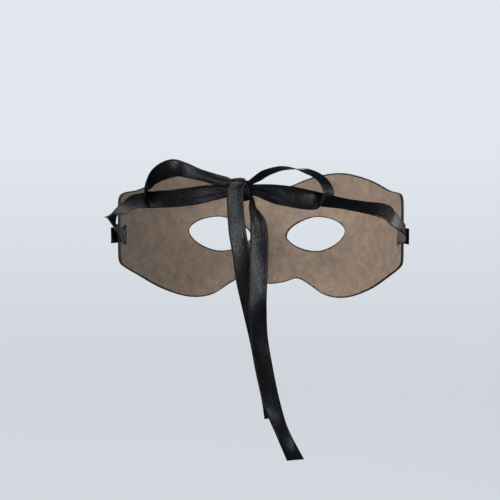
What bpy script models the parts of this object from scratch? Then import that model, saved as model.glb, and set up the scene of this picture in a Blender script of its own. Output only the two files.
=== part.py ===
"""A masquerade half mask with satin ties, knotted behind in a bow, in the form it has when worn.

Metres, +Z up. The origin is on the inner face of the mask, at the bridge of the nose. The mask looks
along -Y, its bow is at +Y, and the wearer's left is +X.
"""

import math

import bmesh
import bpy
import numpy as np
from mathutils import Vector

# The mask
MASK_WIDTH = 0.178
MASK_HEIGHT = 0.082
MASK_WRAP = 0.072
MASK_WALL = 0.0016
NOSE_REACH = 0.0185
NOSE_WIDTH = 0.032
BROW_REACH = 0.0045
CHEEK_REACH = 0.0035
SOCKET_DEPTH = 0.004
EYE_WIDTH = 0.044
EYE_HEIGHT = 0.023
EYE_SPACING = 0.066
EYE_UP = -0.02
EYE_TILT = math.radians(7)
EYE_POINTEDNESS = 1.65
WRAP_ANGLE = math.radians(75)

# The slots that the ties are threaded through
SLOT_LENGTH = 0.003
SLOT_BAR = 0.006
SLOT_CLEARANCE = 0.0008
TAB_LENGTH = 0.009
TAB_FLARE = 0.0006

# The ties, as they lie when worn, and how far they stand out at the sides
RIBBON_WIDTH = 0.010
RIBBON_WALL = 0.001
PLEAT_DEPTH = 0.0009
WORN_WIDTH = 0.168
WORN_DEPTH = 0.199
WORN_MIDDLE = 0.103
BOW_RISE = 0.032
SIDE_STAND = 0.010
GAP = 0.0003

# The bow
KNOT_WIDTH = 0.0106
KNOT_HEIGHT = 0.0132
KNOT_DEPTH = 0.0084
KNOT_LOW = 0.06
TIE_ROOT_WIDTH = 0.0062
TIE_ROOT_SET = 0.0022
LOOP_LEFT_REACH = 0.0520
LOOP_LEFT_RISE = 0.0125
LOOP_RIGHT_REACH = 0.044
LOOP_RIGHT_RISE = 0.0126
LOOP_STAND = 0.010
TAIL_LEFT_DROP = 0.1305
TAIL_LEFT_DRIFT = 0.0190
TAIL_RIGHT_DROP = 0.1545
TAIL_RIGHT_DRIFT = 0.0318
TAIL_STAND = 0.012

# Mesh counts
OUTLINE_POINTS = 76
SHELL_RINGS = 8
CURVE_STEPS = 3
RIBBON_COLUMNS = 4
KNOT_SIDES = 20

# Half of the mask's edge, from above the nose round the wing to below it: how far across the half,
# and how far above the bridge as a share of the height.
OUTLINE = [
    # across, up
    (0.00, 0.335),
    (0.10, 0.350),
    (0.24, 0.430),
    (0.42, 0.470),
    (0.62, 0.420),
    (0.80, 0.345),
    (0.94, 0.328),
    (0.985, 0.300),
    (1.00, 0.240),
    (1.00, -0.150),
    (0.985, -0.215),
    (0.94, -0.250),
    (0.80, -0.330),
    (0.62, -0.450),
    (0.45, -0.525),
    (0.32, -0.515),
    (0.22, -0.430),
    (0.15, -0.385),
    (0.08, -0.425),
    (0.00, -0.450),
]

# A tie from the knot to the side: share of the way round, share of the worn round's size, share of
# the bow's rise, and the share of the ribbon's width. Lean tips the band's upper edge outward and
# ahead turns it forward, both in degrees.
TIE_LEFT = [
    # round, out, rise, lean, ahead, width
    (0.10, 1.012, 0.950, 0, 0, 0.90),
    (0.20, 1.008, 0.885, 0, 0, 1.00),
    (0.32, 1.008, 0.825, 4, 0, 1.00),
    (0.44, 1.008, 0.790, 8, 0, 0.95),
    (0.56, 1.006, 0.750, 26, 0, 0.90),
    (0.67, 1.004, 0.630, 50, 0, 0.76),
    (0.78, 1.002, 0.530, 62, 0, 0.74),
    (0.92, 1.015, 0.460, 88, 0, 0.78),
]
TIE_RIGHT = [
    # round, out, rise, lean, ahead, width
    (0.10, 1.012, 0.955, 0, 0, 0.90),
    (0.20, 1.008, 0.900, 10, 0, 0.95),
    (0.32, 1.008, 0.815, 30, 0, 0.90),
    (0.44, 1.010, 0.735, 44, 0, 0.82),
    (0.58, 1.012, 0.655, 42, 0, 0.85),
    (0.70, 1.012, 0.595, 30, 0, 0.90),
    (0.83, 1.008, 0.505, 20, 6, 0.90),
    (0.96, 1.012, 0.370, 12, 26, 0.92),
]

# The last two rows of each tie, from the side on to the slot: share of the way, share of the stand
# outward and of the bow's rise, then lean, ahead and width as above.
PASS_LEFT = [
    # along, stand, rise, lean, ahead, width
    (0.22, 0.60, 0.410, 104, 0, 0.82),
    (0.46, 0.66, 0.262, 40, 0, 0.94),
]
PASS_RIGHT = [
    # along, stand, rise, lean, ahead, width
    (0.30, 0.58, 0.170, -6, 40, 0.95),
    (0.58, 0.50, 0.060, -6, 24, 1.00),
]

# The loops, from the knot out along the upper run, round the end and back along the lower run:
# shares of the reach, of the rise and of the stand off the worn round, then the band's lean
# outward from upright and its turn towards edge-on, in degrees, and the share of its width.
LOOP_LEFT = [
    # out, up, stand, lean, turn, width, pleat
    (0.000, 0.37, 0.50, -20, -77, 0.50, 1.0),
    (0.070, 0.41, 0.58, -22, -64, 0.75, 0.6),
    (0.170, 0.47, 0.64, -23, -57, 1.00, 0.2),
    (0.370, 0.71, 0.70, -25, -52, 1.00, 0.0),
    (0.530, 0.91, 0.80, -10, -34, 1.00, 0.0),
    (0.660, 1.00, 0.92, 4, -4, 1.00, 0.0),
    (0.770, 0.865, 1.05, 21, 16, 1.00, 0.0),
    (0.865, 0.615, 1.15, 33, 38, 1.00, 0.0),
    (0.930, 0.34, 1.20, 48, 62, 1.00, 0.0),
    (0.975, 0.02, 1.16, 70, 78, 1.00, 0.0),
    (1.000, -0.34, 0.95, 0, 128, 1.00, 0.0),
    (0.945, -0.50, 0.68, 0, 158, 1.00, 0.0),
    (0.820, -0.47, 0.47, 4, 176, 1.00, 0.0),
    (0.620, -0.42, 0.37, 10, 180, 1.00, 0.0),
    (0.415, -0.30, 0.34, 10, 180, 1.00, 0.1),
    (0.220, -0.15, 0.36, 8, 180, 0.90, 0.3),
    (0.080, -0.07, 0.42, 4, 180, 0.75, 0.6),
    (0.000, -0.05, 0.46, 0, 180, 0.64, 1.0),
]
LOOP_RIGHT = [
    # out, up, stand, lean, turn, width, pleat
    (0.000, 0.36, 0.50, -56, 74, 0.50, 1.0),
    (0.095, 0.47, 0.56, -43, 71, 0.75, 0.5),
    (0.190, 0.71, 0.61, -31, 72, 1.00, 0.2),
    (0.340, 0.92, 0.68, -22, 81, 1.00, 0.0),
    (0.450, 0.98, 0.73, 0, 87, 1.00, 0.0),
    (0.570, 0.93, 0.79, 31, 94, 1.00, 0.0),
    (0.700, 0.865, 0.88, 50, 107, 1.00, 0.0),
    (0.820, 0.70, 0.98, 55, 112, 1.00, 0.0),
    (0.910, 0.47, 1.08, 63, 115, 1.00, 0.0),
    (0.970, 0.17, 1.15, 78, 121, 1.00, 0.0),
    (0.995, -0.12, 1.15, 88, 124, 1.00, 0.0),
    (0.975, -0.38, 0.98, 70, 130, 1.00, 0.0),
    (0.900, -0.51, 0.74, 20, 150, 1.00, 0.0),
    (0.790, -0.54, 0.54, 10, 168, 1.00, 0.0),
    (0.630, -0.48, 0.40, 12, 178, 1.00, 0.0),
    (0.475, -0.37, 0.35, 12, 180, 1.00, 0.0),
    (0.320, -0.25, 0.35, 12, 180, 1.00, 0.1),
    (0.180, -0.12, 0.37, 10, 180, 0.83, 0.3),
    (0.070, -0.02, 0.42, 5, 180, 0.66, 0.6),
    (0.000, 0.00, 0.46, 0, 180, 0.58, 1.0),
]

# The tails below the knot: shares of the drop, of the drift to the wearer's right and of the
# stand off the knot's outer face, then lean, turn, width and pleat as for the loops.
TAIL_LEFT = [
    # down, drift, stand, lean, turn, width, pleat
    (0.000, -0.150, 0.00, 90, 0, 0.92, 0.4),
    (0.070, -0.150, 0.02, 91, 0, 0.96, 0.2),
    (0.170, -0.090, 0.16, 95, 6, 1.00, 0.0),
    (0.270, 0.040, 0.33, 98, 8, 1.00, 0.0),
    (0.390, 0.150, 0.46, 98, 0, 1.00, 0.0),
    (0.520, 0.350, 0.46, 101, -6, 1.00, 0.0),
    (0.650, 0.545, 0.32, 101, -4, 1.00, 0.0),
    (0.790, 0.720, 0.10, 101, 4, 1.00, 0.0),
    (0.910, 0.885, -0.14, 100, 6, 1.00, 0.0),
    (1.000, 0.965, -0.34, 98, 2, 1.00, 0.0),
]
TAIL_RIGHT = [
    # down, drift, stand, lean, turn, width, pleat
    (0.060, 0.232, -0.02, 60, 64, 0.62, 0.7),
    (0.084, 0.280, 0.08, 84, 48, 0.85, 0.4),
    (0.120, 0.325, 0.20, 90, 24, 0.98, 0.2),
    (0.170, 0.370, 0.36, 93, 8, 1.00, 0.0),
    (0.240, 0.372, 0.54, 90, -6, 1.00, 0.0),
    (0.330, 0.352, 0.68, 89, -4, 1.00, 0.0),
    (0.430, 0.338, 0.74, 89, 12, 1.00, 0.0),
    (0.540, 0.360, 0.68, 92, 22, 1.00, 0.0),
    (0.660, 0.448, 0.52, 97, 18, 1.00, 0.0),
    (0.780, 0.565, 0.30, 100, 18, 1.00, 0.0),
    (0.890, 0.730, 0.04, 99, 34, 1.00, 0.0),
    (1.000, 0.985, -0.28, 94, 6, 1.00, 0.0),
]

# The knot's rounded section along its width: place from side to side, share of height and depth.
KNOT = [
    # across, size
    (-0.50, 0.60),
    (-0.43, 0.76),
    (-0.25, 0.92),
    (0.00, 0.99),
    (0.25, 1.00),
    (0.43, 0.90),
    (0.50, 0.74),
]


def clear_scene():
    for obj in list(bpy.data.objects):
        bpy.data.objects.remove(obj, do_unlink=True)


def plain_material(name, colour, roughness, metallic=0.0):
    material = bpy.data.materials.new(name)
    material.use_nodes = True
    shader = material.node_tree.nodes["Principled BSDF"]
    shader.inputs["Base Color"].default_value = (*colour, 1.0)
    shader.inputs["Roughness"].default_value = roughness
    shader.inputs["Metallic"].default_value = metallic
    return material


def node_from(name, mesh_builder, material):
    mesh = bpy.data.meshes.new(name)
    mesh_builder.to_mesh(mesh)
    mesh_builder.free()
    mesh.materials.append(material)
    mesh.shade_smooth()
    mesh.set_sharp_from_angle(angle=math.radians(40))
    obj = bpy.data.objects.new(name, mesh)
    bpy.context.scene.collection.objects.link(obj)
    return obj


def smooth_through(rows, steps=CURVE_STEPS):
    """Rows on a smooth curve through the given rows, with steps between each two."""
    rows = np.asarray(rows, float)
    before = 2 * rows[0] - rows[1]
    after = 2 * rows[-1] - rows[-2]
    held = np.vstack([before, rows, after])
    found = []
    for i in range(1, len(held) - 2):
        for t in np.arange(steps) / steps:
            a, b, c, d = held[i - 1 : i + 3]
            found.append(
                b
                + 0.5 * t * (c - a)
                + t * t * (a - 2.5 * b + 2 * c - 0.5 * d)
                + t**3 * (1.5 * (b - c) + 0.5 * (d - a))
            )
    found.append(rows[-1])
    return np.array(found)


# The mask's shell


def swell(value, centre, spread):
    return math.exp(-(((value - centre) / spread) ** 2))


def relief(x, up):
    """How far the face stands forward of the plain curved sheet."""
    down = min(max((0.10 * MASK_HEIGHT - up) / (0.55 * MASK_HEIGHT), 0.0), 1.0)
    ridge = NOSE_WIDTH * (0.30 + 0.18 * down)
    nose = NOSE_REACH * math.sin(0.5 * math.pi * down) ** 1.5 * swell(x, 0, ridge)
    brow = BROW_REACH * swell(up, 0.24 * MASK_HEIGHT, 0.14 * MASK_HEIGHT)
    brow *= swell(abs(x), 0.17 * MASK_WIDTH, 0.14 * MASK_WIDTH)
    cheek = CHEEK_REACH * swell(up, -0.38 * MASK_HEIGHT, 0.16 * MASK_HEIGHT)
    cheek *= swell(abs(x), 0.24 * MASK_WIDTH, 0.12 * MASK_WIDTH)
    socket = SOCKET_DEPTH * swell(abs(x), EYE_SPACING / 2, 0.55 * EYE_WIDTH)
    socket *= swell(up, 0, 0.75 * EYE_HEIGHT)
    return nose + brow + cheek - socket


def inner_face(across, up):
    """The point of the mask's inner face at a share across (-1 to 1) and a height."""
    turn = across * WRAP_ANGLE
    x = 0.5 * MASK_WIDTH * math.sin(turn) / math.sin(WRAP_ANGLE)
    y = MASK_WRAP * (1 - math.cos(turn)) / (1 - math.cos(WRAP_ANGLE))
    return Vector((x, y - relief(x, up) + relief(0, 0), up))


def outward(across, up):
    """The unit normal of the inner face, towards the front."""
    step = 0.002
    along = inner_face(across + step, up) - inner_face(across - step, up)
    rise = inner_face(across, up + step * MASK_HEIGHT)
    rise -= inner_face(across, up - step * MASK_HEIGHT)
    return along.cross(rise).normalized()


def arc_length():
    """The length of the inner face from the bridge to a wing's rear edge."""
    steps = 60
    points = [inner_face(i / steps, 0) for i in range(steps + 1)]
    return sum((b - a).length for a, b in zip(points, points[1:]))


HALF_ARC = arc_length()


def spaced(curve, count):
    """Points a like distance apart along a curve of (across, up)."""
    scale = np.array([HALF_ARC, MASK_HEIGHT])
    steps = np.linalg.norm(np.diff(curve * scale, axis=0), axis=1)
    run = np.concatenate([[0], np.cumsum(steps)])
    places = np.linspace(0, run[-1], count)
    return np.column_stack([np.interp(places, run, curve[:, k]) for k in (0, 1)])


def half_outline():
    """The outer loop of one half: round the wing, then back up the nose's middle line."""
    edge = spaced(smooth_through(OUTLINE, 8), OUTLINE_POINTS)
    edge[0, 0] = edge[-1, 0] = 0
    rise = (OUTLINE[0][1] - OUTLINE[-1][1]) * MASK_HEIGHT
    middle_points = max(6, round(rise / 0.005))
    middle = np.linspace(edge[-1], edge[0], middle_points + 1)[1:-1]
    return np.vstack([edge, middle])


EYE_ACROSS = 0.5 * EYE_SPACING / HALF_ARC


def eye_edge(across, up):
    """The point of the eye hole's edge in the direction of an outline point."""
    flat_x = (across - EYE_ACROSS) * HALF_ARC
    flat_y = (up - EYE_UP) * MASK_HEIGHT
    angle = math.atan2(flat_y, flat_x) - EYE_TILT
    wide = abs(math.cos(angle)) / (0.5 * EYE_WIDTH)
    tall = abs(math.sin(angle)) / (0.5 * EYE_HEIGHT)
    radius = (wide**EYE_POINTEDNESS + tall**EYE_POINTEDNESS) ** (-1 / EYE_POINTEDNESS)
    x = radius * math.cos(angle + EYE_TILT)
    y = radius * math.sin(angle + EYE_TILT)
    return np.array([EYE_ACROSS + x / HALF_ARC, EYE_UP + y / MASK_HEIGHT])


def build_shell(material):
    """Both halves as rings of faces from eye hole to edge, with an inner and an outer skin."""
    bm = bmesh.new()
    outline = half_outline()
    holes = np.array([eye_edge(*point) for point in outline])
    count = len(outline)
    for side in (1, -1):
        skins = []
        for wall in (0.0, MASK_WALL):
            rings = []
            for k in range(SHELL_RINGS + 1):
                share = (k / SHELL_RINGS) ** 1.15
                ring = []
                for across, up in holes + (outline - holes) * share:
                    height = up * MASK_HEIGHT
                    point = inner_face(side * across, height)
                    point += outward(side * across, height) * wall
                    ring.append(bm.verts.new(point))
                rings.append(ring)
            skins.append(rings)
        inner, outer = skins
        for i in range(count):
            j = (i + 1) % count
            for k in range(SHELL_RINGS):
                bm.faces.new((inner[k][i], inner[k][j], inner[k + 1][j], inner[k + 1][i]))
                bm.faces.new((outer[k][i], outer[k + 1][i], outer[k + 1][j], outer[k][j]))
            bm.faces.new((inner[0][i], outer[0][i], outer[0][j], inner[0][j]))
            on_middle = outline[i][0] < 1e-9 and outline[j][0] < 1e-9
            if not on_middle:
                last = SHELL_RINGS
                bm.faces.new((inner[last][i], inner[last][j], outer[last][j], outer[last][i]))
    bmesh.ops.remove_doubles(bm, verts=bm.verts[:], dist=1e-6)
    bmesh.ops.recalc_face_normals(bm, faces=bm.faces[:])
    shell = node_from("mask_shell", bm, material)
    for side in (1, -1):
        cutter = slot_cutter(side)
        cut = shell.modifiers.new(cutter.name, "BOOLEAN")
        cut.operation = "DIFFERENCE"
        cut.solver = "EXACT"
        cut.object = cutter
    return shell


# The slots and the ties' ends round their bars

SLOT_HEIGHT = RIBBON_WIDTH + 2 * SLOT_CLEARANCE
SLOT_ACROSS = 1 - (SLOT_BAR + 0.5 * SLOT_LENGTH) / HALF_ARC
SLOT_UP = 0.0


def slot_frame(side):
    """The slot's middle on the inner face, the way to the rear along the wing, and outward."""
    across = side * SLOT_ACROSS
    middle = inner_face(across, SLOT_UP)
    rear = inner_face(side * (SLOT_ACROSS + 0.01), SLOT_UP) - middle
    return middle, rear.normalized(), outward(across, SLOT_UP)


def slot_cutter(side):
    """A round-ended block that cuts a wing's slot."""
    middle, rear, out = slot_frame(side)
    bm = bmesh.new()
    reach = 4 * MASK_WALL
    radius = 0.5 * SLOT_LENGTH
    straight = 0.5 * SLOT_HEIGHT - radius
    sections = []
    for depth in (-reach, reach):
        ring = []
        for end, start in ((1, 0), (-1, 180)):
            for k in range(7):
                angle = math.radians(start + 30 * k)
                a = radius * math.cos(angle)
                b = radius * math.sin(angle) + end * straight
                ring.append(bm.verts.new(middle + rear * a + Vector((0, 0, b)) + out * depth))
        sections.append(ring)
    count = len(sections[0])
    for i in range(count):
        j = (i + 1) % count
        bm.faces.new((sections[0][i], sections[0][j], sections[1][j], sections[1][i]))
    bm.faces.new(sections[0][::-1])
    bm.faces.new(sections[1])
    bmesh.ops.recalc_face_normals(bm, faces=bm.faces[:])
    name = "slot_cutter_left" if side > 0 else "slot_cutter_right"
    cutter = node_from(name, bm, bpy.data.materials["mask_board"])
    cutter.hide_render = True
    cutter.display_type = "WIRE"
    return cutter


def slot_stations(side):
    """The tie's end: in along the bar, through the slot and back outside as a short tab."""
    middle, rear, out = slot_frame(side)
    off = GAP + 0.5 * RIBBON_WALL
    bar_front = 0.5 * SLOT_LENGTH
    bar_rear = bar_front + SLOT_BAR
    turn_at = bar_front - off
    layer = RIBBON_WALL + GAP
    path = [
        # to the rear from the slot's middle, outward from the inner face
        (bar_rear, -off),
        (bar_front + 0.35 * SLOT_BAR, -off),
        (bar_front + 0.02 * SLOT_BAR, -off),
        (turn_at + 0.15 * off, -0.55 * off),
        (turn_at, 0.5 * MASK_WALL),
        (turn_at + 0.15 * off, MASK_WALL + 0.55 * off),
        (bar_front + 0.02 * SLOT_BAR, MASK_WALL + off),
        (bar_front + 0.35 * SLOT_BAR, MASK_WALL + off),
        (bar_rear, MASK_WALL + off),
        (bar_rear + 0.35 * TAB_LENGTH, 0.45 * MASK_WALL + off + 0.5 * layer),
        (bar_rear + TAB_LENGTH, layer + TAB_FLARE),
    ]
    width = Vector((0, 0, RIBBON_WIDTH))
    return [station(middle + rear * a + out * b, width, 0.0) for a, b in path]


# Ribbons


def station(centre, width, pleat):
    """One row of a ribbon's course: its middle, its width as a vector, and how far it is pleated."""
    return [*centre, *width, pleat]


def band_width(out, back, lean, turn, length):
    """A width vector leaning from upright towards out, then turned towards back."""
    lean = math.radians(lean)
    turn = math.radians(turn)
    flat = out * math.sin(lean) + Vector((0, 0, 1)) * math.cos(lean)
    return (flat * math.cos(turn) + back * math.sin(turn)) * length


def build_ribbon(name, stations, material, steps=CURVE_STEPS, keep=0):
    """A closed strip through the stations. The last keep rows are used as they are."""
    rows = np.array(stations)
    if keep:
        rows = np.vstack([smooth_through(rows[: len(rows) - keep + 1], steps)[:-1], rows[-keep:]])
    else:
        rows = smooth_through(rows, steps)
    centres = rows[:, :3]
    tangents = np.gradient(centres, axis=0)
    bm = bmesh.new()
    rings = []
    for centre, width, pleat, tangent in zip(centres, rows[:, 3:6], rows[:, 6], tangents):
        normal = np.cross(tangent, width)
        normal /= np.linalg.norm(normal)
        ring = []
        for face in (0.5, -0.5):
            columns = range(RIBBON_COLUMNS + 1)
            for k in columns if face > 0 else reversed(columns):
                fold = 0.5 * PLEAT_DEPTH * pleat * (1 if k % 2 else -1)
                point = centre + width * (k / RIBBON_COLUMNS - 0.5)
                ring.append(bm.verts.new(point + normal * (face * RIBBON_WALL + fold)))
        rings.append(ring)
    count = len(rings[0])
    for first, second in zip(rings, rings[1:]):
        for i in range(count):
            j = (i + 1) % count
            bm.faces.new((first[i], first[j], second[j], second[i]))
    for ring in (rings[0], rings[-1]):
        for k in range(RIBBON_COLUMNS):
            bm.faces.new((ring[k], ring[k + 1], ring[count - 2 - k], ring[count - 1 - k]))
    bmesh.ops.recalc_face_normals(bm, faces=bm.faces[:])
    return node_from(name, bm, material)


KNOT_MIDDLE = Vector((0, WORN_DEPTH + 0.5 * KNOT_DEPTH + GAP, BOW_RISE - KNOT_LOW * KNOT_HEIGHT))
ROOT = 0.5 * KNOT_WIDTH + GAP
BACK = Vector((0, 1, 0))


def round_back(x):
    """How far back the worn round reaches at a distance from the middle."""
    share = min(abs(x) / (0.5 * WORN_WIDTH), 0.98)
    return WORN_MIDDLE + (WORN_DEPTH - WORN_MIDDLE) * math.sqrt(1 - share * share)


def build_tie(name, side, rows, last_rows, material):
    """A tie from the knot's side round to its slot."""
    start = math.asin(ROOT / (0.5 * WORN_WIDTH))
    root = Vector((side * ROOT, KNOT_MIDDLE.y - TIE_ROOT_SET, BOW_RISE))
    stations = [station(root, Vector((0, 0, TIE_ROOT_WIDTH)), 1.0)]
    for share, out, rise, lean, ahead, width in rows:
        turn = start + share * (0.5 * math.pi - start)
        radial = Vector((side * math.sin(turn), math.cos(turn), 0))
        course = Vector((side * math.cos(turn), -math.sin(turn), 0))
        place = Vector(
            (
                side * 0.5 * WORN_WIDTH * out * math.sin(turn),
                WORN_MIDDLE + (WORN_DEPTH - WORN_MIDDLE) * out * math.cos(turn),
                rise * BOW_RISE,
            )
        )
        across = band_width(radial, course, lean, ahead, width * RIBBON_WIDTH)
        stations.append(station(place, across, 0.0))
    ends = slot_stations(side)
    target = Vector(ends[0][:3])
    outer = Vector((side * 0.5 * WORN_WIDTH, WORN_MIDDLE, 0))
    forward = Vector((0, -1, 0))
    for along, stand, rise, lean, ahead, width in last_rows:
        place = outer.lerp(Vector((target.x, target.y, 0)), along)
        place.x += side * SIDE_STAND * stand
        place.z = rise * BOW_RISE
        across = band_width(Vector((side, 0, 0)), forward, lean, ahead, width * RIBBON_WIDTH)
        stations.append(station(place, across, 0.0))
    return build_ribbon(name, stations + ends, material, keep=len(ends))


def build_loop(name, side, reach, rise, rows, material):
    """A loop of the bow, both its ends against the knot's side."""
    stations = []
    out_way = Vector((side, 0, 0))
    for out, up, stand, lean, turn, width, pleat in rows:
        x = ROOT + out * reach
        place = Vector((side * x, round_back(x) + stand * LOOP_STAND, BOW_RISE + up * rise))
        across = band_width(out_way, BACK, lean, turn, width * RIBBON_WIDTH)
        stations.append(station(place, across, pleat))
    return build_ribbon(name, stations, material)


def tail_stations(drop, drift, rows):
    """A tail's course from its place on the knot's outer face."""
    face = KNOT_MIDDLE.y + 0.5 * KNOT_DEPTH + GAP + 0.5 * RIBBON_WALL
    stations = []
    for down, aside, stand, lean, turn, width, pleat in rows:
        place = Vector((-aside * drift, face + stand * TAIL_STAND, BOW_RISE - down * drop))
        across = band_width(Vector((1, 0, 0)), BACK, lean, turn, width * RIBBON_WIDTH)
        stations.append(station(place, across, pleat))
    return stations


def build_tail_left(material):
    """The tail that comes over the knot's top and hangs down across its outer face."""
    stations = tail_stations(TAIL_LEFT_DROP, TAIL_LEFT_DRIFT, TAIL_LEFT)
    lift = 0.5 * RIBBON_WALL + GAP
    top = KNOT_MIDDLE + Vector((0, 0, 0.5 * KNOT_HEIGHT + lift))
    out = KNOT_MIDDLE.y + 0.5 * KNOT_DEPTH + lift
    aside = 0.17 * KNOT_WIDTH
    narrow = Vector((0.68 * RIBBON_WIDTH, 0, 0))
    over = [
        # depth from the knot's middle to its outer face, height from its middle to its top
        (0.0, 1.00),
        (0.42, 1.00),
        (0.80, 0.93),
        (0.97, 0.66),
    ]
    start = []
    for back, up in over:
        place = Vector((aside, KNOT_MIDDLE.y + back * (out - KNOT_MIDDLE.y), BOW_RISE))
        place.z += up * (top.z - BOW_RISE)
        start.append(station(place, narrow, 0.5))
    return build_ribbon("tail_left", start + stations, material)


def build_tail_right(material):
    """The tail that leaves the knot's lower right and hangs in front of the other."""
    root = Vector((-ROOT - 0.5 * RIBBON_WALL, KNOT_MIDDLE.y, BOW_RISE - 0.37 * KNOT_HEIGHT))
    stations = [station(root, Vector((0, 0.42 * RIBBON_WIDTH, 0)), 0.8)]
    stations += tail_stations(TAIL_RIGHT_DROP, TAIL_RIGHT_DRIFT, TAIL_RIGHT)
    return build_ribbon("tail_right", stations, material)


def build_knot(material):
    """The knot, a rounded roll that the ribbon is wrapped round."""
    bm = bmesh.new()
    rings = []
    for across, size in KNOT:
        ring = []
        for k in range(KNOT_SIDES):
            angle = 2 * math.pi * k / KNOT_SIDES
            c, s = math.cos(angle), math.sin(angle)
            y = math.copysign(abs(c) ** 0.75, c) * 0.5 * KNOT_DEPTH * size
            z = math.copysign(abs(s) ** 0.75, s) * 0.5 * KNOT_HEIGHT * size
            ring.append(bm.verts.new(KNOT_MIDDLE + Vector((across * KNOT_WIDTH, y, z))))
        rings.append(ring)
    for first, second in zip(rings, rings[1:]):
        for i in range(KNOT_SIDES):
            j = (i + 1) % KNOT_SIDES
            bm.faces.new((first[i], first[j], second[j], second[i]))
    bm.faces.new(rings[0])
    bm.faces.new(rings[-1])
    bmesh.ops.recalc_face_normals(bm, faces=bm.faces[:])
    return node_from("bow_knot", bm, material)


def main():
    clear_scene()
    board = plain_material("mask_board", (0.012, 0.012, 0.013), 0.55)
    satin = plain_material("satin_ribbon", (0.014, 0.014, 0.018), 0.38)
    build_shell(board)
    build_tie("strap_left", 1, TIE_LEFT, PASS_LEFT, satin)
    build_tie("strap_right", -1, TIE_RIGHT, PASS_RIGHT, satin)
    build_knot(satin)
    build_loop("bow_loop_left", 1, LOOP_LEFT_REACH, LOOP_LEFT_RISE, LOOP_LEFT, satin)
    build_loop("bow_loop_right", -1, LOOP_RIGHT_REACH, LOOP_RIGHT_RISE, LOOP_RIGHT, satin)
    build_tail_left(satin)
    build_tail_right(satin)


main()
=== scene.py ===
"""A black masquerade half mask with satin ribbon ties, knotted behind in a bow."""

import math

import bpy
import numpy as np
from mathutils import Matrix, Vector, noise
from mathutils.kdtree import KDTree


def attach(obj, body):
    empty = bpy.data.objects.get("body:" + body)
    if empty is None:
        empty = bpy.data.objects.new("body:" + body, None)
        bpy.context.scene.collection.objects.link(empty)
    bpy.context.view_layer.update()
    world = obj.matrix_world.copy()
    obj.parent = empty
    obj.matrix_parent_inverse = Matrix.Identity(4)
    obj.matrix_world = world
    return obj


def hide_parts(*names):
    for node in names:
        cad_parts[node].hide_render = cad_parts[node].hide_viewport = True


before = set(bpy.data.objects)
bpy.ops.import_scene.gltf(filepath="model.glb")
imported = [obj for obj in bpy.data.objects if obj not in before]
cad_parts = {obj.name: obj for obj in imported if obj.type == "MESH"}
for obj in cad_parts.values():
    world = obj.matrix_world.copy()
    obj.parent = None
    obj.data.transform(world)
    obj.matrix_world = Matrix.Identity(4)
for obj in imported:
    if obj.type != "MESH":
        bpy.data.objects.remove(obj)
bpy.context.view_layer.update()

# The viewpoint. The mask is seen from behind, a little from its right and from just above the bow,
# at the scale that the ribbon's width gives at the knot. The lens follows from that scale.
PHOTO_SIZE = 500
KNOT_PIXEL = (241, 190)
METRES_PER_PIXEL = 0.00057
VIEW_AZIMUTH = math.radians(185)
VIEW_ELEVATION = math.radians(3)
VIEW_DISTANCE = 1.25
BOW_PLACE = Vector((0, 0.205, 0.032))

towards_viewer = Vector(
    (
        math.sin(VIEW_AZIMUTH) * math.cos(VIEW_ELEVATION),
        -math.cos(VIEW_AZIMUTH) * math.cos(VIEW_ELEVATION),
        math.sin(VIEW_ELEVATION),
    )
)
view_right = Vector((0, 0, 1)).cross(towards_viewer).normalized()
view_up = towards_viewer.cross(view_right)
aside = (KNOT_PIXEL[0] - PHOTO_SIZE / 2) * METRES_PER_PIXEL
above = (PHOTO_SIZE / 2 - KNOT_PIXEL[1]) * METRES_PER_PIXEL
eye_place = BOW_PLACE + towards_viewer * VIEW_DISTANCE - view_right * aside - view_up * above
lens = bpy.data.cameras.new("viewpoint")
lens.angle = 2 * math.atan(0.5 * PHOTO_SIZE * METRES_PER_PIXEL / VIEW_DISTANCE)
lens.clip_start = 0.05
viewpoint = bpy.data.objects.new("viewpoint", lens)
bpy.context.scene.collection.objects.link(viewpoint)
turned = Matrix((view_right, view_up, towards_viewer)).transposed().to_4x4()
viewpoint.matrix_world = Matrix.Translation(eye_place) @ turned
bpy.context.scene.camera = viewpoint

# The room. A floor that curves up into a wall all round, well below the ribbon's tails. Its own
# colour is near black: it glows pale by itself, dimmer towards the floor and brighter up the wall, a
# painted glow that stands for a lit backdrop and also lights the part. Large soft panels light the
# part: the main one above and to the left of the viewpoint.
FLOOR_DROP = 0.36
ROOM_MIDDLE = 0.1
ROOM_RADIUS = 3.2
ROOM_SIDES = 96
COVE_RADIUS = 1.1
COVE_STEPS = 10
WALL_HEIGHT = 2.6
ROOM_COLOUR = (0.030, 0.031, 0.0325)
ROOM_GLOW_LOW = (0.590, 0.625, 0.666)
ROOM_GLOW_HIGH = (0.735, 0.772, 0.818)
FULL_GLOW_HEIGHT = 0.05

bpy.ops.object.select_all(action="DESELECT")
bpy.ops.mesh.primitive_circle_add(
    vertices=ROOM_SIDES,
    radius=ROOM_RADIUS - COVE_RADIUS,
    fill_type="NGON",
    location=(0, ROOM_MIDDLE, -FLOOR_DROP),
)
room = bpy.context.object
room.name = "pale_room"
bpy.ops.object.mode_set(mode="EDIT")
bpy.ops.mesh.select_all(action="SELECT")
for k in range(1, COVE_STEPS + 1):
    bpy.ops.mesh.select_mode(type="EDGE")
    bpy.ops.mesh.select_all(action="SELECT")
    bpy.ops.mesh.region_to_loop()
    before = math.radians(90 * (k - 1) / COVE_STEPS)
    after = math.radians(90 * k / COVE_STEPS)
    radius_before = ROOM_RADIUS - COVE_RADIUS * (1 - math.sin(before))
    radius_after = ROOM_RADIUS - COVE_RADIUS * (1 - math.sin(after))
    grow = radius_after / radius_before
    rise = COVE_RADIUS * (math.cos(before) - math.cos(after))
    bpy.ops.mesh.extrude_edges_move(TRANSFORM_OT_translate={"value": (0, 0, rise)})
    bpy.ops.transform.resize(value=(grow, grow, 1), center_override=(0, ROOM_MIDDLE, 0))
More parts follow.
